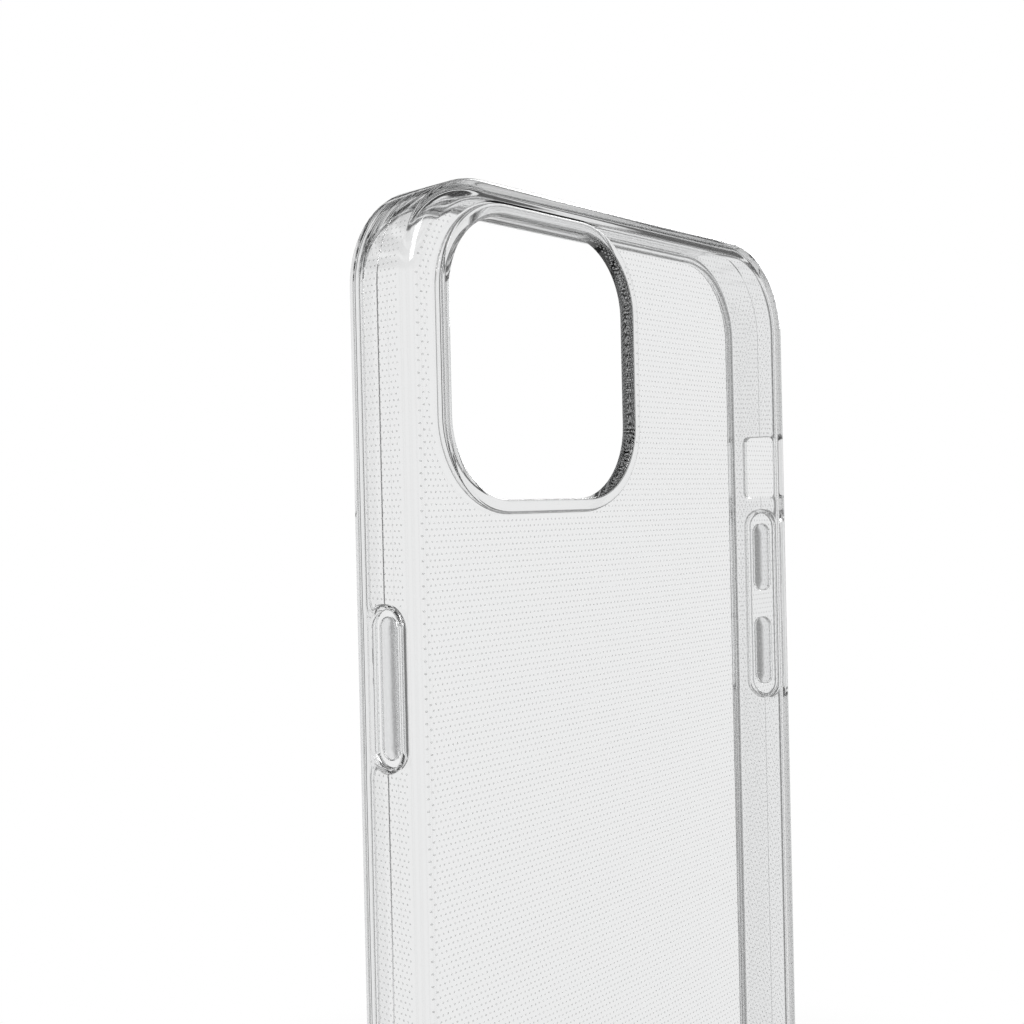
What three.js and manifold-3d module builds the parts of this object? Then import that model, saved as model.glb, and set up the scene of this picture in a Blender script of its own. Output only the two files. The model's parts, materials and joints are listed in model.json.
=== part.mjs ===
// Clear soft phone case: a one-piece TPU tray, drawn as its moulded regions.
// Millimetres. +Z runs up the length of the case, +X to the right seen from behind,
// the outer back faces -Y and the open side, where the phone goes in, faces +Y.
import * as THREE from "three";
import { mergeVertices } from "three/addons/utils/BufferGeometryUtils.js";
import Module from "manifold-3d";

const wasm = await Module();
wasm.setup();

// The phone that the case is made for, and the clearance all round it.
const PHONE_WIDTH = 71.5;
const PHONE_LENGTH = 146.7;
const PHONE_CORNER = 11.0;
const CAVITY_DEPTH = 7.8;
const PHONE_CLEARANCE = 0.15;

// Thicknesses of the moulding.
const WALL = 1.3;
const BACK = 1.1;
const LIP_HEIGHT = 0.9;
const LIP_OVERHANG = 0.8;
const BACK_FILLET = 1.9;
const FRONT_ROUND = 0.45;
const RIM_PROUD = 0.8;
const RIM_WIDTH = 1.5;

// Regions of the moulding stop this far short of each other.
const GAP = 0.3;

// Outer sizes that follow.
const WIDTH = PHONE_WIDTH + 2 * (PHONE_CLEARANCE + WALL);
const LENGTH = PHONE_LENGTH + 2 * (PHONE_CLEARANCE + WALL);
const DEPTH = BACK + CAVITY_DEPTH + LIP_HEIGHT;
const CORNER = PHONE_CORNER + PHONE_CLEARANCE + WALL;
const Y_BACK = (RIM_PROUD - DEPTH) / 2;
const Y_SEAT = Y_BACK + BACK;
const Y_LIP = Y_BACK + DEPTH;
const Y_BUTTONS = Y_SEAT + CAVITY_DEPTH / 2;

// Camera opening, upper left seen from behind.
const CAMERA_SIZE = 31.3;
const CAMERA_CORNER = 9.0;
const CAMERA_X = -16.35;
const CAMERA_Z = 129.65;

// Button wells: smooth stadium recesses with a thin floor and a stadium key in each.
const WELL_WIDTH = 5.0;
const WELL_RECESS = 0.45;
const WELL_FLOOR = 0.55;
const KEY_WIDTH = 2.6;
const KEY_PROUD_OF_WELL = 0.4;
const KEY_NUB = 0.15;
const POWER_Z = 94.2;
const POWER_WELL_LENGTH = 17.8;
const POWER_KEY_LENGTH = 15.2;
const VOLUME_Z = 97.9;
const VOLUME_WELL_LENGTH = 27.8;
const VOLUME_KEY_LENGTH = 9.8;
const VOLUME_KEY_SPACING = 13.8;

// Openings through the right wall and the bottom wall.
const MUTE_Z = 118.0;
const MUTE_LENGTH = 9.0;
const MUTE_WIDTH = 5.0;
const MUTE_CORNER = 0.8;
const PORT_LENGTH = 13.4;
const PORT_WIDTH = 6.0;
const SPEAKER_X = 16.0;
const SPEAKER_LENGTH = 9.0;
const SPEAKER_WIDTH = 2.4;

// The case flexes backwards about a line across its outer back at this height.
const FLEX_Z = 51.5;

const ARC_STEPS = 8;
const FILLET_STEPS = 3;

// How far a cutting solid runs past the face it cuts, and the same for a face it only has to clear.
const BEYOND = 5;
const SLIVER = 0.01;

// Vertices closer than this are one vertex.
const SAME_POINT = 1e-4;

const clearTpu = () =>
  new THREE.MeshStandardMaterial({
    color: 0xe9ebec,
    roughness: 0.12,
    metalness: 0,
    transparent: true,
    opacity: 0.35,
  });
const frostedTpu = () =>
  new THREE.MeshStandardMaterial({
    color: 0xd9dcde,
    roughness: 0.35,
    metalness: 0,
    transparent: true,
    opacity: 0.55,
  });

// A closed geometry as a solid that can be cut and joined.
function solid(geometry) {
  const bare = geometry.clone();
  bare.deleteAttribute("normal");
  bare.deleteAttribute("uv");
  const merged = mergeVertices(bare, SAME_POINT);
  return new wasm.Manifold(
    new wasm.Mesh({
      numProp: 3,
      vertProperties: merged.attributes.position.array,
      triVerts: new Uint32Array(merged.index.array),
    }),
  );
}

// A solid back as a named mesh.
function piece(name, body, material) {
  const made = body.getMesh();
  const geometry = new THREE.BufferGeometry();
  const positions = new THREE.BufferAttribute(made.vertProperties, 3);
  geometry.setAttribute("position", positions);
  geometry.setIndex(new THREE.BufferAttribute(made.triVerts, 1));
  geometry.computeVertexNormals();
  const mesh = new THREE.Mesh(geometry, material);
  mesh.name = name;
  return mesh;
}

// Rectangle with round corners, centred on (cx, cy).
function roundedRectangle(cx, cy, width, height, radius) {
  const [x0, x1] = [cx - width / 2, cx + width / 2];
  const [y0, y1] = [cy - height / 2, cy + height / 2];
  const shape = new THREE.Shape();
  shape.moveTo(x0 + radius, y0);
  shape.absarc(x1 - radius, y0 + radius, radius, -Math.PI / 2, 0);
  shape.absarc(x1 - radius, y1 - radius, radius, 0, Math.PI / 2);
  shape.absarc(x0 + radius, y1 - radius, radius, Math.PI / 2, Math.PI);
  shape.absarc(x0 + radius, y0 + radius, radius, Math.PI, Math.PI * 1.5);
  return shape;
}

// A rounded rectangle whose ends are all but half circles, so that its short sides keep a length.
const stadium = (cx, cy, width, height) =>
  roundedRectangle(cx, cy, width, height, Math.min(width, height) / 2 - SLIVER);

function extruded(shape, depth) {
  const settings = { depth, bevelEnabled: false, curveSegments: ARC_STEPS };
  return new THREE.ExtrudeGeometry(shape, settings);
}

// An outline drawn in X and Z, between two depths along Y.
function alongY(shape, y0, y1) {
  const geometry = extruded(shape, y1 - y0);
  geometry.rotateX(Math.PI / 2);
  geometry.translate(0, y1, 0);
  return solid(geometry);
}

// An outline drawn in Y and Z, between two places along X.
function alongX(shape, x0, x1) {
  const geometry = extruded(shape, x1 - x0);
  const turn = new THREE.Matrix4().makeBasis(
    new THREE.Vector3(0, 1, 0),
    new THREE.Vector3(0, 0, 1),
    new THREE.Vector3(1, 0, 0),
  );
  geometry.applyMatrix4(turn);
  geometry.translate(x0, 0, 0);
  return solid(geometry);
}

// An outline drawn in X and Y, between two heights.
function alongZ(shape, z0, z1) {
  const geometry = extruded(shape, z1 - z0);
  geometry.translate(0, 0, z0);
  return solid(geometry);
}

function block(x0, x1, y0, y1, z0, z1) {
  const geometry = new THREE.BoxGeometry(x1 - x0, y1 - y0, z1 - z0);
  geometry.translate((x0 + x1) / 2, (y0 + y1) / 2, (z0 + z1) / 2);
  return solid(geometry);
}

// The plan of the case, drawn in by an inset.
const plan = (inset) =>
  roundedRectangle(
    0,
    LENGTH / 2,
    WIDTH - 2 * inset,
    LENGTH - 2 * inset,
    CORNER - inset,
  );

// The outer form up to one face: a plan whose edge at that face is rounded.
function roundedForm(radius, y0, y1) {
  const geometry = new THREE.ExtrudeGeometry(plan(radius), {
    depth: y1 - y0 - 2 * radius,
    bevelEnabled: true,
    bevelThickness: radius,
    bevelSize: radius,
    bevelSegments: FILLET_STEPS,
    curveSegments: ARC_STEPS,
  });
  geometry.rotateX(Math.PI / 2);
  geometry.translate(0, y1 - radius, 0);
  return solid(geometry);
}

// The whole tray: rounded outside, with the phone's cavity and the mouth cut out.
function tray() {
  const outside = roundedForm(BACK_FILLET, Y_BACK, Y_LIP + BEYOND).intersect(
    roundedForm(FRONT_ROUND, Y_BACK - BEYOND, Y_LIP),
  );
  const cavity = alongY(plan(WALL), Y_SEAT, Y_LIP - LIP_HEIGHT);
  const mouth = alongY(plan(WALL + LIP_OVERHANG), Y_SEAT, Y_LIP + BEYOND);
  return outside.subtract(cavity).subtract(mouth);
}

const cameraOutline = (grow) =>
  roundedRectangle(
    CAMERA_X,
    CAMERA_Z,
    CAMERA_SIZE + 2 * grow,
    CAMERA_SIZE + 2 * grow,
    CAMERA_CORNER + grow,
  );

// Raised rim that stands round the camera opening.
function cameraRim() {
  const ring = alongY(cameraOutline(RIM_WIDTH), Y_BACK - RIM_PROUD, Y_SEAT);
  const hole = alongY(cameraOutline(0), Y_BACK - BEYOND, Y_LIP);
  return ring.subtract(hole);
}

// A span of a side wall's thickness, from its outer face inwards; side is -1 left, 1 right.
function wallSpan(side, shape, from, to) {
  const outer = (side * WIDTH) / 2;
  const [a, b] = [outer - side * from, outer - side * to];
  return alongX(shape, Math.min(a, b), Math.max(a, b));
}

const wellOutline = (z, length, shrink) =>
  stadium(Y_BUTTONS, z, WELL_WIDTH - 2 * shrink, length - 2 * shrink);
const keyOutline = (z, length, grow) =>
  stadium(Y_BUTTONS, z, KEY_WIDTH + 2 * grow, length + 2 * grow);

// Thin floor of a button well, with a window for each key.
function wellFloor(side, z, length, keyLength, keyPlaces) {
  const outline = wellOutline(z, length, GAP);
  let floor = wallSpan(side, outline, WELL_RECESS, WELL_RECESS + WELL_FLOOR);
  for (const keyZ of keyPlaces) {
    const window = keyOutline(keyZ, keyLength, GAP);
    floor = floor.subtract(wallSpan(side, window, -BEYOND, WALL + BEYOND));
  }
  return floor;
}

// Key of a button: it stands on the well's floor and has a nub on the phone's side.
function key(side, z, length) {
  const top = WELL_RECESS - KEY_PROUD_OF_WELL;
  const bottom = WELL_RECESS + WELL_FLOOR + KEY_NUB;
  return wallSpan(side, keyOutline(z, length, 0), top, bottom);
}

const volumeKeys = [
  VOLUME_Z + VOLUME_KEY_SPACING / 2,
  VOLUME_Z - VOLUME_KEY_SPACING / 2,
];

// The tray with every opening cut: the button wells, the mute switch, the port and the speakers.
function cutTray() {
  const through = WALL + LIP_OVERHANG;
  const muteOutline = roundedRectangle(
    Y_BUTTONS,
    MUTE_Z,
    MUTE_WIDTH,
    MUTE_LENGTH,
    MUTE_CORNER,
  );
  const cuts = [
    wallSpan(-1, wellOutline(POWER_Z, POWER_WELL_LENGTH, 0), -BEYOND, through),
    wallSpan(1, wellOutline(VOLUME_Z, VOLUME_WELL_LENGTH, 0), -BEYOND, through),
    wallSpan(1, muteOutline, -BEYOND, through),
    alongZ(stadium(0, Y_BUTTONS, PORT_LENGTH, PORT_WIDTH), -BEYOND, through),
  ];
  for (const side of [-1, 1]) {
    const slot = stadium(
      side * SPEAKER_X,
      Y_BUTTONS,
      SPEAKER_LENGTH,
      SPEAKER_WIDTH,
    );
    cuts.push(alongZ(slot, -BEYOND, through));
  }
  return cuts.reduce((body, cut) => body.subtract(cut), tray());
}

// The edge of the tray, outside the seam with the back panel, and the panel inside it.
const whole = cutTray();
const panelSlab = alongY(
  plan(BACK_FILLET + GAP / 2),
  Y_BACK - BEYOND,
  Y_SEAT,
);
const seamSlab = alongY(
  plan(BACK_FILLET - GAP / 2),
  Y_BACK - BEYOND,
  Y_SEAT + SLIVER,
);
const edge = whole.subtract(seamSlab);
const cameraClear = alongY(
  cameraOutline(RIM_WIDTH + GAP),
  Y_BACK - BEYOND,
  Y_LIP,
);
const panel = whole.intersect(panelSlab).subtract(cameraClear);

// A box of the edge between two places across and two heights.
function region(body, x0, x1, z0, z1) {
  return body.intersect(
    block(x0, x1, Y_BACK - BEYOND, Y_LIP + BEYOND, z0, z1),
  );
}

const half = GAP / 2;
const xOut = WIDTH / 2 + BEYOND;
const xCorner = WIDTH / 2 - CORNER;
const zLow = CORNER;
const zHigh = LENGTH - CORNER;

const lowerShell = new THREE.Group();
const upperShell = new THREE.Group();
const keys = new THREE.Group();

function addPanels() {
  const low = region(panel, -xOut, xOut, -BEYOND, FLEX_Z - half);
  const high = region(panel, -xOut, xOut, FLEX_Z + half, LENGTH + BEYOND);
  lowerShell.add(piece("back_panel_lower", low, clearTpu()));
  upperShell.add(piece("back_panel_upper", high, clearTpu()));
}

function addSideWalls() {
  for (const [side, label] of [
    [-1, "left"],
    [1, "right"],
  ]) {
    const [x0, x1] = side < 0 ? [-xOut, 0] : [0, xOut];
    const low = region(edge, x0, x1, zLow + half, FLEX_Z - half);
    const high = region(edge, x0, x1, FLEX_Z + half, zHigh - half);
    lowerShell.add(piece(`wall_${label}_lower`, low, clearTpu()));
    upperShell.add(piece(`wall_${label}_upper`, high, clearTpu()));
  }
}

function addEndsAndCorners() {
  const ends = [
    ["bottom", lowerShell, -BEYOND, zLow - half],
    ["top", upperShell, zHigh + half, LENGTH + BEYOND],
  ];
  for (const [label, shell, z0, z1] of ends) {
    const middle = region(edge, -xCorner + half, xCorner - half, z0, z1);
    const left = region(edge, -xOut, -xCorner - half, z0, z1);
    const right = region(edge, xCorner + half, xOut, z0, z1);
    shell.add(piece(`wall_${label}`, middle, clearTpu()));
    shell.add(piece(`corner_${label}_left`, left, clearTpu()));
    shell.add(piece(`corner_${label}_right`, right, clearTpu()));
  }
}

function addCameraAndWells() {
  const power = wellFloor(-1, POWER_Z, POWER_WELL_LENGTH, POWER_KEY_LENGTH, [
    POWER_Z,
  ]);
  const volume = wellFloor(
    1,
    VOLUME_Z,
    VOLUME_WELL_LENGTH,
    VOLUME_KEY_LENGTH,
    volumeKeys,
  );
  upperShell.add(piece("camera_rim", cameraRim(), clearTpu()));
  upperShell.add(piece("power_button_well", power, clearTpu()));
  upperShell.add(piece("volume_button_well", volume, clearTpu()));
}

function addKeys() {
  const [upZ, downZ] = volumeKeys;
  const power = key(-1, POWER_Z, POWER_KEY_LENGTH);
  const up = key(1, upZ, VOLUME_KEY_LENGTH);
  const down = key(1, downZ, VOLUME_KEY_LENGTH);
  keys.add(piece("power_button", power, frostedTpu()));
  keys.add(piece("volume_up_button", up, frostedTpu()));
  keys.add(piece("volume_down_button", down, frostedTpu()));
}

addPanels();
addSideWalls();
addEndsAndCorners();
addCameraAndWells();
addKeys();

const phoneCase = new THREE.Group();
phoneCase.add(lowerShell, upperShell, keys);

export default phoneCase;
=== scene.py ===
"""Clear soft phone case: the looks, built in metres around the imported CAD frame."""
import json
import math

import bmesh
import bpy
import numpy as np
from mathutils import Matrix, Vector


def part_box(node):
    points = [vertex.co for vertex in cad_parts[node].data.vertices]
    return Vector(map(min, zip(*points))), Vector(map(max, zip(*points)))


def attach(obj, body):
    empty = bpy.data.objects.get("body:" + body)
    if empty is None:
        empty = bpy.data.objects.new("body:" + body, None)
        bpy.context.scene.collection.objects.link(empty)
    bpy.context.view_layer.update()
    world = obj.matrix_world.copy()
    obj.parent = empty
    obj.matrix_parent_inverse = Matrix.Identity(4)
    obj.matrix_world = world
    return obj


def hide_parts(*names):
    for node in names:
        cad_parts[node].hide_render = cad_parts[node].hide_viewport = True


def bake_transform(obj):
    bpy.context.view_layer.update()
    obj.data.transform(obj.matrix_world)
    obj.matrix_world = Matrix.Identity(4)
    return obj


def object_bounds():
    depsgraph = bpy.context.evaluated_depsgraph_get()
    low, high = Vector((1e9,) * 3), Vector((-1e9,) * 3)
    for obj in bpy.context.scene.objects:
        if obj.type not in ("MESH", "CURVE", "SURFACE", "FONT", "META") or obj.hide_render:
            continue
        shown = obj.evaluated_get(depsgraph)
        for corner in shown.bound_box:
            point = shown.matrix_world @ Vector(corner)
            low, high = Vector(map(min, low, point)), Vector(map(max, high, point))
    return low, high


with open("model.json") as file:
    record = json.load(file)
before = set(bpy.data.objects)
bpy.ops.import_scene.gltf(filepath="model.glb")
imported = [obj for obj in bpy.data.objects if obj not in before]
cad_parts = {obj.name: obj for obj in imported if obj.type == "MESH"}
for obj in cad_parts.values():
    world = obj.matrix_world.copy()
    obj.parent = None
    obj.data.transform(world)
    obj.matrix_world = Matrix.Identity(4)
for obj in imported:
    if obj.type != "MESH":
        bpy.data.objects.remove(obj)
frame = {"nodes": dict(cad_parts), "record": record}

CAD_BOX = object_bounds()
MM = 0.001


def millimetres(node):
    """A node's lowest and highest corners, in millimetres."""
    low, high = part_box(node)
    return np.array(low) / MM, np.array(high) / MM


# The moulding's thicknesses and roundings, in millimetres.
WALL = 1.3
LIP_HEIGHT = 0.9
LIP_OVERHANG = 0.8
BACK_FILLET = 1.9
CORNER = 12.45
INNER_FILLET = 1.4
PARTING_DEPTH = 0.12
PARTING_WIDTH = 0.1
RIM_WIDTH = 1.5
RIM_CORNER = 9.0
RIM_FOOT = 0.25
MUTE_CORNER = 0.8
CUT_ROUND = 0.2

# The button wells' and keys' small radii and clearances.
WELL_GAP = 0.04
CAD_WELL_GAP = 0.3
WELL_LIP = 0.3
WELL_FILLET = 0.45
WELL_BACK_ROUND = 0.1
WELL_STRIP = 0.05
WINDOW_ROUND = 0.06
KEY_GAP = 0.06
KEY_ROUND = 0.2
KEY_FOOT_ROUND = 0.12
KEY_RIDGE = 0.02
KEY_GABLE = 0.32

# The fine dots on the inner faces.
DOT_PITCH = 0.67
DOT_ROW = 0.657
DOT_RADIUS = 0.14
DOT_HEIGHT = 0.06
DOT_SINK = 0.02
DOT_SIDES = 5
DOT_MARGIN = 0.35
# The dots start this share of the way over the inner fillet, and end this many degrees round a corner.
FILLET_DOTS = 0.4
DOTS_ROUND_CORNER = 35
PLAN_STEP = 0.01

# Mesh steps.
BEND_STEP = 2.5
CORNER_STEPS = 18
BEYOND = 1.0
SNAP = 0.002

# The stretch of the shell whose faces are sliced at the stations' heights.
BEND_LOW = 0.020
BEND_HIGH = 0.083

# Places that follow from the frame.
CASE_LOW, CASE_HIGH = np.array(CAD_BOX[0]) / MM, np.array(CAD_BOX[1]) / MM
WIDTH = CASE_HIGH[0] - CASE_LOW[0]
LENGTH = CASE_HIGH[2] - CASE_LOW[2]
Y_BACK, Y_SEAT = (corner[1] for corner in millimetres("back_panel_upper"))
Y_LIP = CASE_HIGH[1]
Y_RIM = CASE_LOW[1]
Y_KEYS = (Y_SEAT + Y_LIP - LIP_HEIGHT) / 2


def arc(cx, cy, radius, start, end, steps):
    """Points of an arc, angles in degrees."""
    angles = np.radians(np.linspace(start, end, steps + 1))
    return [(cx + radius * math.cos(a), cy + radius * math.sin(a)) for a in angles]


def outline(cx, cy, width, height, radius, straight_step=100.0, corner_steps=CORNER_STEPS):
    """Stations round a rounded rectangle, in order: place and outward normal of each."""
    stations = []
    hx, hy = width / 2 - radius, height / 2 - radius
    corners = [(hx, -hy, -90), (hx, hy, 0), (-hx, hy, 90), (-hx, -hy, 180)]
    for index, (kx, ky, start) in enumerate(corners):
        for a in np.radians(np.linspace(start, start + 90, corner_steps + 1)):
            n = (math.cos(a), math.sin(a))
            stations.append((cx + kx + radius * n[0], cy + ky + radius * n[1], *n))
        nx, ny, _ = corners[(index + 1) % 4]
        normal = stations[-1][2:]
        length = math.hypot(nx - kx, ny - ky)
        count = max(1, round(length / straight_step))
        for k in range(1, count):
            x = cx + kx + (nx - kx) * k / count + radius * normal[0]
            y = cy + ky + (ny - ky) * k / count + radius * normal[1]
            stations.append((x, y, *normal))
    return stations


def stadium(cx, cy, width, height, steps=12):
    return outline(cx, cy, width, height, min(width, height) / 2 - 0.001, corner_steps=steps)


def in_plan(x, z, depth):
    """A point drawn in X and Z, at a place along Y."""
    return (x * MM, depth * MM, z * MM)


def on_wall(side):
    """Points drawn in Y and Z on a side wall, at a depth below its outer face."""
    return lambda y, z, depth: (side * (WIDTH / 2 - depth) * MM, y * MM, z * MM)


def on_bottom(x, y, depth):
    """A point drawn in X and Y on the bottom wall, at a depth below its outer face."""
    return (x * MM, y * MM, depth * MM)


def sweep(bm, stations, profile, place):
    """Carries a profile of (outward offset, depth) round the stations: its first and last rings."""
    rings = [
        [bm.verts.new(place(x + nx * offset, y + ny * offset, depth)) for x, y, nx, ny in stations]
        for offset, depth in profile
    ]
    count = len(stations)
    for low, high in zip(rings, rings[1:]):
        for k in range(count):
            j = (k + 1) % count
            bm.faces.new((low[k], low[j], high[j], high[k]))
    return rings[0], rings[-1]


def fill_between(bm, *rings):
    """Flat fill bounded by one ring, with the other rings as holes in it."""
    edges = []
    for ring in rings:
        for k in range(len(ring)):
            edges.append(bm.edges.get((ring[k - 1], ring[k])))
    bmesh.ops.triangle_fill(bm, use_beauty=True, use_dissolve=False, edges=edges)


def shaded(mesh, material, sharp):
    """Smooth shading with sharp edges past an angle, and one material."""
    mesh.polygons.foreach_set("use_smooth", [True] * len(mesh.polygons))
    mesh.set_sharp_from_angle(angle=math.radians(sharp))
    mesh.materials.clear()
    mesh.materials.append(material)


def finished(name, bm, material, sharp=50):
    """A closed bmesh as a shaded object."""
    bmesh.ops.remove_doubles(bm, verts=bm.verts, dist=0.0005 * MM)
    bmesh.ops.recalc_face_normals(bm, faces=bm.faces)
    mesh = bpy.data.meshes.new(name)
    bm.to_mesh(mesh)
    bm.free()
    shaded(mesh, material, sharp)
    made = bpy.data.objects.new(name, mesh)
    bpy.context.scene.collection.objects.link(made)
    return made


# ---- materials ----


def node_material(name):
    material = bpy.data.materials.new(name)
    material.use_nodes = True
    return material, material.node_tree, material.node_tree.nodes["Principled BSDF"]


def uneven(tree, shader, scale, strength, distance):
    """The faint unevenness of a moulded surface."""
    coordinates = tree.nodes.new("ShaderNodeTexCoord")
    noise = tree.nodes.new("ShaderNodeTexNoise")
    noise.inputs["Scale"].default_value = scale
    noise.inputs["Detail"].default_value = 3
    bump = tree.nodes.new("ShaderNodeBump")
    bump.inputs["Strength"].default_value = strength
    bump.inputs["Distance"].default_value = distance
    tree.links.new(coordinates.outputs["Object"], noise.inputs["Vector"])
    tree.links.new(noise.outputs["Fac"], bump.inputs["Height"])
    tree.links.new(bump.outputs["Normal"], shader.inputs["Normal"])


def let_lamps_through(tree, shader, tint):
    """Light from lamps passes the plastic, a little dimmed."""
    path = tree.nodes.new("ShaderNodeLightPath")
    clear = tree.nodes.new("ShaderNodeBsdfTransparent")
    clear.inputs["Color"].default_value = (tint, tint, tint, 1)
    mix = tree.nodes.new("ShaderNodeMixShader")
    output = tree.nodes["Material Output"]
    tree.links.new(path.outputs["Is Shadow Ray"], mix.inputs["Fac"])
    tree.links.new(shader.outputs["BSDF"], mix.inputs[1])
    tree.links.new(clear.outputs["BSDF"], mix.inputs[2])
    tree.links.new(mix.outputs["Shader"], output.inputs["Surface"])


def tpu(name, colour, roughness, lamp_tint):
    material, tree, shader = node_material(name)
    shader.inputs["Base Color"].default_value = (*colour, 1)
    shader.inputs["Roughness"].default_value = roughness
    shader.inputs["IOR"].default_value = 1.48
    shader.inputs["Transmission Weight"].default_value = 1
    let_lamps_through(tree, shader, lamp_tint)
    return material, tree, shader


def absorb(tree, colour, density):
    """Light that travels far inside the plastic comes out dimmer."""
    absorption = tree.nodes.new("ShaderNodeVolumeAbsorption")
    absorption.inputs["Color"].default_value = (*colour, 1)
    absorption.inputs["Density"].default_value = density
    tree.links.new(absorption.outputs["Volume"], tree.nodes["Material Output"].inputs["Volume"])


def clear_tpu():
    material, tree, shader = tpu("clear_tpu", (0.965, 0.968, 0.97), 0.0, 0.9)
    absorb(tree, (0.5, 0.505, 0.505), 70)
    uneven(tree, shader, 90, 0.04, 0.0003)
    return material


def frosted_tpu():
    material, tree, shader = tpu("frosted_tpu", (0.86, 0.865, 0.87), 0.2, 0.85)
    uneven(tree, shader, 1500, 0.15, 0.00005)
    return material


def dot_tpu_painted_glow():
    """The dots scatter light: darker than a white ground and lighter than a black one; their faint
    white glow is painted light.
    """
    material, tree, shader = node_material("dot_tpu_painted_glow")
    shader.inputs["Base Color"].default_value = (0.93, 0.935, 0.94, 1)
    # Painted light: a faint white glow stands in for the light that the clear plastic keeps from the
    # dots.
    shader.inputs["Emission Color"].default_value = (1, 1, 1, 1)
    shader.inputs["Emission Strength"].default_value = 0.12
    shader.inputs["Roughness"].default_value = 0.4
    shader.inputs["Alpha"].default_value = 0.35
    uneven(tree, shader, 3000, 0.1, 0.00002)
    return material


CLEAR = clear_tpu()
FROSTED = frosted_tpu()
DOTS = dot_tpu_painted_glow()

# ---- the shell ----

# A narrow flat strip beside each fillet keeps the big flat faces' shading flat.
FLAT_STRIP = 0.1
PANEL_INSET = WALL + INNER_FILLET + FLAT_STRIP
RIM_OUTSET = RIM_WIDTH + RIM_FOOT

# Radii of the small rounded edges.
UNDER_LIP_ROUND = 0.2
LIP_TIP_ROUND = 0.25
LIP_EDGE_ROUND = 0.35
FRONT_ROUND = 0.55
RIM_OUTER_ROUND = 0.45
RIM_INNER_ROUND = 0.4
RIM_SEAT_ROUND = 0.2


def edge_profile():
    """Section of the tray's edge from the seat, over the lip, to the outer back: (offset, y)."""
    under = Y_LIP - LIP_HEIGHT
    tip = -(WALL + LIP_OVERHANG)
    seat_fillet = arc(-WALL - INNER_FILLET, Y_SEAT + INNER_FILLET, INNER_FILLET, -90, 0, 9)
    r = UNDER_LIP_ROUND
    under_lip = arc(-WALL - r, under - r, r, 0, 90, 3)
    r = LIP_TIP_ROUND
    lip_tip = arc(tip + r, under + r, r, -90, -180, 3)
    r = LIP_EDGE_ROUND
    lip_edge = arc(tip + r, Y_LIP - r, r, 180, 90, 4)
    r = FRONT_ROUND
    front_round = arc(-r, Y_LIP - r, r, 90, 0, 6)
    back_fillet = arc(-BACK_FILLET, Y_BACK + BACK_FILLET, BACK_FILLET, 0, -90, 12)
    groove = [
        (0, Y_KEYS + PARTING_WIDTH),
        (-PARTING_DEPTH, Y_KEYS),
        (0, Y_KEYS - PARTING_WIDTH),
    ]
    inside = [(-PANEL_INSET, Y_SEAT)] + seat_fillet + under_lip + lip_tip + lip_edge
    return inside + front_round + groove + back_fillet + [(-PANEL_INSET, Y_BACK)]


def rim_profile():
    """Section of the camera rim from the outer back, over the rim, to the seat: (offset, y)."""
    foot = [(RIM_OUTSET + FLAT_STRIP, Y_BACK)]
    foot += arc(RIM_OUTSET, Y_BACK - RIM_FOOT, RIM_FOOT, 90, 180, 4)
    r = RIM_OUTER_ROUND
    outer_edge = arc(RIM_WIDTH - r, Y_RIM + r, r, 0, -90, 5)
    r = RIM_INNER_ROUND
    inner_edge = arc(r, Y_RIM + r, r, -90, -180, 5)
    r = RIM_SEAT_ROUND
    seat_edge = arc(r, Y_SEAT - r, r, 180, 90, 3)
    return foot + outer_edge + inner_edge + seat_edge + [(RIM_OUTSET, Y_SEAT)]


def camera_outline():
    low, high = millimetres("camera_rim")
    size = high[0] - low[0] - 2 * RIM_WIDTH
    cx, cz = (low[0] + high[0]) / 2, (low[2] + high[2]) / 2
    return cx, cz, size


def moulding():
    """The tray with its camera rim, as one closed mesh."""
    bm = bmesh.new()
    case = outline(0, LENGTH / 2, WIDTH, LENGTH, CORNER, BEND_STEP)
    seat_ring, back_ring = sweep(bm, case, edge_profile(), in_plan)
    cx, cz, size = camera_outline()
    hole = outline(cx, cz, size, size, RIM_CORNER, BEND_STEP)
    rim_back, rim_seat = sweep(bm, hole, rim_profile(), in_plan)
    fill_between(bm, seat_ring, rim_seat)
    fill_between(bm, back_ring, rim_back)
    return bm


def cutter_profile(at_outer, at_inner):
    """Straight through a wall, flared where it meets the two faces."""
    outer = arc(at_outer, at_outer, at_outer, -90, -180, 4)
    inner = arc(at_inner, WALL - at_inner, at_inner, 180, 90, 4)
    return [(at_outer, -BEYOND)] + outer + inner + [(at_inner, WALL + BEYOND)]


def add_cutter(bm, stations, place, at_outer=CUT_ROUND, at_inner=CUT_ROUND):
    profile = cutter_profile(at_outer, at_inner)
    bottom, top = sweep(bm, stations, profile, place)
    bm.faces.new(bottom)
    bm.faces.new(top)


def well_outline(node):
    """Window of a button well: the CAD well and the gap round it."""
    low, high = millimetres(node)
    middle, size = (low + high) / 2, high - low + 2 * CAD_WELL_GAP
    return stadium(middle[1], middle[2], size[1], size[2])


def middle_of_opening(name):
    """The middle of an opening's box in the record, in millimetres."""
    boxes = {o["name"]: o["box_m"] for o in frame["record"]["physics"]["openings"]}
    low, high = (np.array(corner) / MM for corner in boxes[name])
    return (low + high) / 2


# The openings' own sizes, in millimetres.
MUTE_WIDTH, MUTE_LENGTH = 5.0, 9.0
PORT_LENGTH, PORT_WIDTH = 13.4, 6.0
SPEAKER_X, SPEAKER_LENGTH, SPEAKER_WIDTH = 16.0, 9.0, 2.4


def mute_outline():
    height = middle_of_opening("mute_switch_opening")[2]
    return outline(Y_KEYS, height, MUTE_WIDTH, MUTE_LENGTH, MUTE_CORNER, corner_steps=6)


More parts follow.
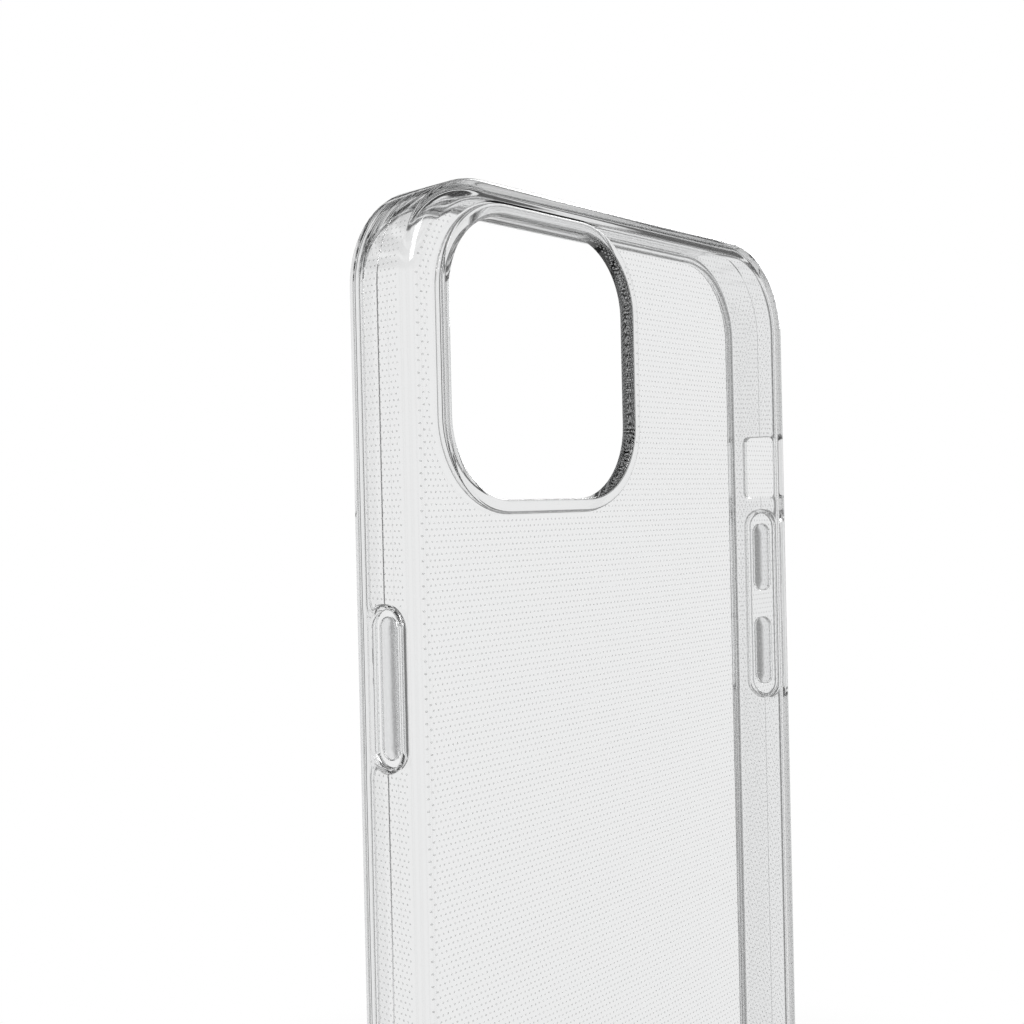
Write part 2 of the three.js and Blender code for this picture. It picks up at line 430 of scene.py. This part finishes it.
def all_cutters():
    bm = bmesh.new()
    power, volume = well_outline("power_button_well"), well_outline("volume_button_well")
    add_cutter(bm, power, on_wall(-1), WELL_LIP, WELL_BACK_ROUND)
    add_cutter(bm, volume, on_wall(1), WELL_LIP, WELL_BACK_ROUND)
    add_cutter(bm, mute_outline(), on_wall(1))
    add_cutter(bm, stadium(0, Y_KEYS, PORT_LENGTH, PORT_WIDTH), on_bottom)
    for side in (-1, 1):
        slot = stadium(side * SPEAKER_X, Y_KEYS, SPEAKER_LENGTH, SPEAKER_WIDTH)
        add_cutter(bm, slot, on_bottom)
    return finished("cutters", bm, CLEAR)


def cut(shape, cutter):
    """Cuts one object from another for good, and removes the cutter."""
    modifier = shape.modifiers.new("cut", "BOOLEAN")
    modifier.operation = "DIFFERENCE"
    modifier.solver = "EXACT"
    modifier.object = cutter
    bpy.context.view_layer.update()
    evaluated = shape.evaluated_get(bpy.context.evaluated_depsgraph_get())
    mesh = bpy.data.meshes.new_from_object(evaluated)
    shape.modifiers.clear()
    shape.data = mesh
    bpy.data.objects.remove(cutter)


def sliced_for_bending(shape):
    """Cuts every face from just below BEND_LOW to just above BEND_HIGH at the stations' heights."""
    bm = bmesh.new()
    bm.from_mesh(shape.data)
    count = max(1, round((LENGTH - 2 * CORNER) / BEND_STEP))
    for height in np.linspace(CORNER, LENGTH - CORNER, count + 1) * MM:
        if BEND_LOW - BEND_STEP * MM < height < BEND_HIGH + BEND_STEP * MM:
            geometry = bm.verts[:] + bm.edges[:] + bm.faces[:]
            plane = {"plane_co": (0, 0, height), "plane_no": (0, 0, 1)}
            bmesh.ops.bisect_plane(bm, geom=geometry, dist=SNAP * MM, **plane)
    bm.to_mesh(shape.data)
    bm.free()


def case_shell():
    shell = finished("case_shell", moulding(), CLEAR)
    cut(shell, all_cutters())
    sliced_for_bending(shell)
    shaded(shell.data, CLEAR, 50)
    return shell


# ---- button wells and keys ----


def key_outline(node, grow=0.0):
    low, high = millimetres(node)
    middle, size = (low + high) / 2, high - low + 2 * grow
    return stadium(middle[1], middle[2], size[1], size[2])


def depths(node, side):
    """How far below the wall's outer face a node begins and ends."""
    low, high = millimetres(node)
    near, far = sorted(WIDTH / 2 - side * x for x in (low[0], high[0]))
    return near, far


def button_well(name, node, keys, side):
    """A dished floor that fills the window in the wall, with a window for each key."""
    top, bottom = depths(node, side)
    place = on_wall(side)
    bm = bmesh.new()
    foot = -WELL_GAP - WELL_LIP - WELL_FILLET
    dish = arc(foot, top - WELL_FILLET, WELL_FILLET, 0, 90, 5)
    profile = [(foot, bottom), (-WELL_GAP, bottom), (-WELL_GAP, WELL_LIP)]
    profile += [(-WELL_GAP - WELL_LIP * 0.6, WELL_LIP * 0.35)]
    profile += dish + [(foot - WELL_STRIP, top)]
    under, floor = sweep(bm, well_outline(node), profile, place)
    unders, floors = [under], [floor]
    for key in keys:
        window = key_outline(key, KEY_GAP)
        r = WINDOW_ROUND
        edge = [(r + WELL_STRIP, top)] + arc(r, top + r, r, -90, -180, 3)
        window_top, window_bottom = sweep(bm, window, edge + [(0, bottom)], place)
        floors.append(window_top)
        unders.append(window_bottom)
    fill_between(bm, *unders)
    fill_between(bm, *floors)
    return finished(name, bm, CLEAR)


def key(name, node, side):
    """A bar with round ends whose top rises to a ridge along its middle."""
    top, bottom = depths(node, side)
    low, high = millimetres(node)
    half = (high[1] - low[1]) / 2
    bm = bmesh.new()
    r = KEY_FOOT_ROUND
    under = arc(-r, bottom - r, r, 90, 0, 3)
    shoulder = arc(-KEY_ROUND, top + KEY_GABLE + KEY_ROUND, KEY_ROUND, 0, -75, 6)
    profile = under + shoulder + [(-half + KEY_RIDGE, top)]
    base, ridge = sweep(bm, key_outline(node), profile, on_wall(side))
    bm.faces.new(base)
    bm.faces.new(ridge)
    return finished(name, bm, FROSTED, 20)


# ---- dots ----


def inset_of(x, z, cx, cz, width, height, radius):
    """How far inside a rounded rectangle each point lies; negative outside."""
    qx = np.abs(x - cx) - (width / 2 - radius)
    qz = np.abs(z - cz) - (height / 2 - radius)
    outside = np.hypot(np.maximum(qx, 0), np.maximum(qz, 0))
    return radius - outside - np.minimum(np.maximum(qx, qz), 0)


def dots(name, places, normals, tangents):
    """One low dome per place, as a single mesh."""
    others = np.cross(normals, tangents)
    angles = np.arange(DOT_SIDES) * 2 * math.pi / DOT_SIDES
    ring = tangents[:, None] * np.cos(angles)[None, :, None]
    ring = ring + others[:, None] * np.sin(angles)[None, :, None]
    base = places[:, None] + ring * DOT_RADIUS - normals[:, None] * DOT_SINK
    crown = places + normals * DOT_HEIGHT
    corners = np.concatenate([base, crown[:, None]], axis=1)
    count, each = len(places), DOT_SIDES + 1
    starts = np.arange(count)[:, None] * each
    sides = [[k, (k + 1) % DOT_SIDES, DOT_SIDES] for k in range(DOT_SIDES)]
    triangles = (starts[:, :, None] + np.array(sides)[None]).reshape(-1, 3)
    floors = starts + np.arange(DOT_SIDES)[::-1][None]
    mesh = bpy.data.meshes.new(name)
    mesh.from_pydata((corners.reshape(-1, 3) * MM).tolist(), [], triangles.tolist() + floors.tolist())
    mesh.polygons.foreach_set("use_smooth", [True] * len(mesh.polygons))
    mesh.materials.append(DOTS)
    made = bpy.data.objects.new(name, mesh)
    bpy.context.scene.collection.objects.link(made)
    return made


def staggered(start_a, end_a, start_b, end_b):
    """A staggered grid of points over a rectangle."""
    a = np.arange(start_a, end_a, DOT_PITCH)
    b = np.arange(start_b, end_b, DOT_ROW)
    grid_a, grid_b = np.meshgrid(a, b)
    grid_a = grid_a + (np.arange(len(b)) % 2)[:, None] * DOT_PITCH / 2
    return grid_a.ravel(), grid_b.ravel()


def over_seat_fillet(inset):
    """How far the inner fillet rises above the seat at an inset, and the slope's sine there."""
    reach = np.clip(WALL + INNER_FILLET - inset, 0, INNER_FILLET)
    return INNER_FILLET - np.sqrt(INNER_FILLET**2 - reach**2), reach / INNER_FILLET


def back_dots():
    """Dots over the seat, up to the middle of the fillet round it."""
    x, z = staggered(-WIDTH / 2, WIDTH / 2, 0, LENGTH)
    plan = (0, LENGTH / 2, WIDTH, LENGTH, CORNER)
    case = inset_of(x, z, *plan)
    cx, cz, size = camera_outline()
    camera = inset_of(x, z, cx, cz, size, size, RIM_CORNER)
    kept = (case > WALL + FILLET_DOTS * INNER_FILLET) & (camera < -(RIM_WIDTH + DOT_MARGIN))
    x, z, case = x[kept], z[kept], case[kept]
    rise, slope = over_seat_fillet(case)
    step = PLAN_STEP
    inward_x = (inset_of(x + step, z, *plan) - inset_of(x - step, z, *plan)) / (2 * step)
    inward_z = (inset_of(x, z + step, *plan) - inset_of(x, z - step, *plan)) / (2 * step)
    flat = np.sqrt(1 - slope**2)
    places = np.stack([x, Y_SEAT + rise, z], 1)
    normals = np.stack([inward_x * slope, flat, inward_z * slope], 1)
    normals /= np.linalg.norm(normals, axis=1)[:, None]
    tangents = np.cross(normals, [0.0, 0.0, 1.0])
    tangents /= np.linalg.norm(tangents, axis=1)[:, None]
    return dots("dots_back", places, normals, tangents)


def wall_track():
    """The inner face's plan as places, normals and distances along it, starting at the bottom."""
    inner = outline(0, LENGTH / 2, WIDTH - 2 * WALL, LENGTH - 2 * WALL, CORNER - WALL, 1.0)
    track = np.array(inner)
    closed = np.vstack([track, track[:1]])
    steps = np.hypot(*np.diff(closed[:, :2], axis=0).T)
    return closed, np.concatenate([[0], np.cumsum(steps)])


def clear_of_wall_openings(x, y, z):
    """True where the inner face of the wall is whole."""
    whole = np.ones(len(x), bool)
    boxes = [
        (-1, "power_button_well", CAD_WELL_GAP),
        (1, "volume_button_well", CAD_WELL_GAP),
    ]
    for side, node, gap in boxes:
        low, high = millimetres(node)
        middle, size = (low + high) / 2, high - low + 2 * gap
        inset = inset_of(y, z, middle[1], middle[2], size[1], size[2], size[1] / 2)
        whole &= ~((side * x > 0) & (inset > -DOT_MARGIN))
    height = middle_of_opening("mute_switch_opening")[2]
    inset = inset_of(y, z, Y_KEYS, height, MUTE_WIDTH, MUTE_LENGTH, MUTE_CORNER)
    whole &= ~((x > 0) & (inset > -DOT_MARGIN))
    slots = [(0, PORT_LENGTH, PORT_WIDTH)]
    slots += [(side * SPEAKER_X, SPEAKER_LENGTH, SPEAKER_WIDTH) for side in (-1, 1)]
    for centre, length, width in slots:
        inset = inset_of(x, y, centre, Y_KEYS, length, width, width / 2)
        whole &= ~((z < CORNER / 2) & (inset > -DOT_MARGIN))
    return whole


def wall_dots():
    track, distances = wall_track()
    low = Y_SEAT + INNER_FILLET + DOT_MARGIN
    high = Y_LIP - LIP_HEIGHT - DOT_MARGIN
    y, along = staggered(low, high, 0, distances[-1])
    x, z, nx, nz = (np.interp(along, distances, track[:, k]) for k in range(4))
    turned = np.degrees(np.arctan2(np.abs(nz), np.abs(nx)))
    on_sides = turned < DOTS_ROUND_CORNER
    kept = clear_of_wall_openings(x, y, z) & (y < high) & on_sides
    x, y, z, nx, nz = x[kept], y[kept], z[kept], nx[kept], nz[kept]
    places = np.stack([x, y, z], 1)
    normals = -np.stack([nx, np.zeros_like(nx), nz], 1)
    normals /= np.linalg.norm(normals, axis=1)[:, None]
    tangents = np.tile([0.0, 1.0, 0.0], (len(x), 1))
    return dots("dots_walls", places, normals, tangents)


# ---- the pieces and what they ride on ----

SHELL_NODES = [n for n in frame["nodes"] if n.startswith(("back_", "wall_", "corner_", "camera_"))]


def flexing(piece):
    """Bakes the piece's place into its mesh."""
    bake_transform(piece)


def build_case():
    shell = case_shell()
    flexing(shell)
    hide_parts(*SHELL_NODES)
    for piece in (back_dots(), wall_dots()):
        flexing(piece)


def build_buttons():
    wells = [
        ("power_well", "power_button_well", ["power_button"], -1),
        ("volume_well", "volume_button_well", ["volume_up_button", "volume_down_button"], 1),
    ]
    for name, node, keys, side in wells:
        well = button_well(name, node, keys, side)
        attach(well, "upper_shell")
        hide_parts(node)
        for key_node in keys:
            bar = key(key_node.replace("button", "key"), key_node, side)
            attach(bar, key_node)
            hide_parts(key_node)


# ---- camera, light and floor ----

# The camera that fits the photograph, in degrees, metres and millimetres of focal length.
CAMERA_AZIMUTH = -47.1
CAMERA_ELEVATION = 0.4
CAMERA_ROLL = 1.3
CAMERA_PLACE = (-0.1253, -0.1001, 0.1136)
CAMERA_FOCAL = 44.2


def add_camera():
    azimuth, elevation, roll = map(math.radians, (CAMERA_AZIMUTH, CAMERA_ELEVATION, CAMERA_ROLL))
    ahead = Vector((-math.sin(azimuth), math.cos(azimuth), 0)) * math.cos(elevation)
    ahead.z = -math.sin(elevation)
    right = ahead.cross(Vector((0, 0, 1))).normalized()
    up = right.cross(ahead)
    up, right = (
        up * math.cos(roll) + right * math.sin(roll),
        right * math.cos(roll) - up * math.sin(roll),
    )
    data = bpy.data.cameras.new("camera")
    data.lens = CAMERA_FOCAL
    data.sensor_width = 36
    data.clip_start = 0.005
    camera = bpy.data.objects.new("camera", data)
    bpy.context.scene.collection.objects.link(camera)
    turn = Matrix((right, up, -ahead)).transposed().to_4x4()
    camera.matrix_world = Matrix.Translation(CAMERA_PLACE) @ turn
    bpy.context.scene.camera = camera


def math_node(tree, operation, *inputs):
    node = tree.nodes.new("ShaderNodeMath")
    node.operation = operation
    for socket, value in zip(node.inputs, inputs):
        if isinstance(value, (int, float)):
            socket.default_value = value
        else:
            tree.links.new(value, socket)
    return node.outputs[0]


def smooth_step(tree, value, low, high, dark, bright):
    node = tree.nodes.new("ShaderNodeMapRange")
    node.interpolation_type = "SMOOTHSTEP"
    tree.links.new(value, node.inputs["Value"])
    node.inputs["From Min"].default_value = low
    node.inputs["From Max"].default_value = high
    node.inputs["To Min"].default_value = dark
    node.inputs["To Max"].default_value = bright
    return node.outputs["Result"]


# The light tent: upright panels with gaps between them up to a height, and level strips above it.
# Each pair is where a smooth step begins and ends: on the waves' cosine, or on the sine of height.
PANEL_COUNT = 8
PANEL_AZIMUTH = 44
PANEL_EDGE = (-0.88, -0.64)
PANEL_TOP = (0.3, 0.36)
STRIP_EDGE = (0.3, 0.9)
PANEL_LIGHT = 0.9
GAP_LIGHT = 0.16
FLAG_LIGHT = 0.05
STRIP_WAVE = 36


def studio_world():
    """White to the camera; to the plastic, a light tent with dark gaps between its panels."""
    world = bpy.data.worlds.new("studio")
    world.use_nodes = True
    bpy.context.scene.world = world
    tree = world.node_tree
    tree.nodes.clear()
    coordinates = tree.nodes.new("ShaderNodeTexCoord")
    parts = tree.nodes.new("ShaderNodeSeparateXYZ")
    tree.links.new(coordinates.outputs["Generated"], parts.inputs[0])
    around = math_node(tree, "ARCTAN2", parts.outputs["Y"], parts.outputs["X"])
    turned = math_node(tree, "SUBTRACT", around, math.radians(PANEL_AZIMUTH))
    wave = math_node(tree, "COSINE", math_node(tree, "MULTIPLY", turned, PANEL_COUNT))
    panels = smooth_step(tree, wave, *PANEL_EDGE, GAP_LIGHT, PANEL_LIGHT)
    height = parts.outputs["Z"]
    from_top = math_node(tree, "SUBTRACT", 1.0, height)
    strip_wave = math_node(tree, "COSINE", math_node(tree, "MULTIPLY", from_top, STRIP_WAVE))
    strips = smooth_step(tree, strip_wave, *STRIP_EDGE, FLAG_LIGHT, PANEL_LIGHT)
    below = smooth_step(tree, height, *PANEL_TOP, 1.0, 0.0)
    above = smooth_step(tree, height, *PANEL_TOP, 0.0, 1.0)
    lower_part = math_node(tree, "MULTIPLY", panels, below)
    upper_part = math_node(tree, "MULTIPLY", strips, above)
    light = math_node(tree, "ADD", lower_part, upper_part)
    tent = tree.nodes.new("ShaderNodeBackground")
    tree.links.new(light, tent.inputs["Strength"])
    white = tree.nodes.new("ShaderNodeBackground")
    for shader in (tent, white):
        shader.inputs["Color"].default_value = (1, 1, 1, 1)
    path = tree.nodes.new("ShaderNodeLightPath")
    mix = tree.nodes.new("ShaderNodeMixShader")
    output = tree.nodes.new("ShaderNodeOutputWorld")
    tree.links.new(path.outputs["Is Camera Ray"], mix.inputs["Fac"])
    tree.links.new(tent.outputs[0], mix.inputs[1])
    tree.links.new(white.outputs[0], mix.inputs[2])
    tree.links.new(mix.outputs[0], output.inputs["Surface"])


def softbox(name, place, target, size, power):
    data = bpy.data.lights.new(name, "AREA")
    data.shape = "RECTANGLE"
    data.size, data.size_y = size
    data.energy = power
    light = bpy.data.objects.new(name, data)
    bpy.context.scene.collection.objects.link(light)
    light.location = place
    light.rotation_mode = "QUATERNION"
    light.rotation_quaternion = (Vector(target) - Vector(place)).to_track_quat("-Z", "Y")
    light.visible_camera = False
    light.visible_transmission = False


# The floor, in metres; between the two distances from its middle it runs out into the white ground.
FLOOR_FADE = (0.05, 0.14)
FLOOR_REACH = 3.0
FLOOR_HEIGHT = -0.0002


def pale_floor():
    """A white floor that keeps the case's shadow and runs out into the white ground round it."""
    material, tree, shader = node_material("pale_floor")
    shader.inputs["Base Color"].default_value = (0.93, 0.93, 0.93, 1)
    shader.inputs["Roughness"].default_value = 0.7
    shader.inputs["Specular IOR Level"].default_value = 0.2
    coordinates = tree.nodes.new("ShaderNodeTexCoord")
    distance = tree.nodes.new("ShaderNodeVectorMath")
    distance.operation = "LENGTH"
    tree.links.new(coordinates.outputs["Object"], distance.inputs[0])
    away = smooth_step(tree, distance.outputs["Value"], *FLOOR_FADE, 0.0, 1.0)
    ground = tree.nodes.new("ShaderNodeEmission")
    ground.inputs["Color"].default_value = (1, 1, 1, 1)
    mix = tree.nodes.new("ShaderNodeMixShader")
    tree.links.new(away, mix.inputs["Fac"])
    tree.links.new(shader.outputs["BSDF"], mix.inputs[1])
    tree.links.new(ground.outputs["Emission"], mix.inputs[2])
    tree.links.new(mix.outputs["Shader"], tree.nodes["Material Output"].inputs["Surface"])
    mesh = bpy.data.meshes.new("floor")
    sides = ((-1, -1), (1, -1), (1, 1), (-1, 1))
    corners = [(x * FLOOR_REACH, y * FLOOR_REACH, FLOOR_HEIGHT) for x, y in sides]
    mesh.from_pydata(corners, [], [(0, 1, 2, 3)])
    mesh.materials.append(material)
    floor = bpy.data.objects.new("floor", mesh)
    bpy.context.scene.collection.objects.link(floor)
    floor.visible_transmission = False
    floor.visible_glossy = False


# The softboxes, in metres and watts.
SOFTBOX_SIZE = (0.5, 0.7)
KEY_PLACE, KEY_POWER = (-0.6, -0.7, 0.9), 8
FILL_PLACE, FILL_POWER = (0.9, 0.3, 0.6), 5.5

# Light crosses many faces on its way through the plastic.
BOUNCES = 24
GLOSSY_BOUNCES = 8


def studio():
    studio_world()
    middle = (0, 0, LENGTH * MM / 2)
    softbox("key_light", KEY_PLACE, middle, SOFTBOX_SIZE, KEY_POWER)
    softbox("fill_light", FILL_PLACE, middle, SOFTBOX_SIZE, FILL_POWER)
    pale_floor()
    scene = bpy.context.scene
    scene.view_settings.view_transform = "Standard"
    scene.cycles.max_bounces = BOUNCES
    scene.cycles.transmission_bounces = BOUNCES
    scene.cycles.glossy_bounces = GLOSSY_BOUNCES
    scene.cycles.caustics_reflective = False
    scene.cycles.caustics_refractive = False


add_camera()
build_case()
build_buttons()
studio()
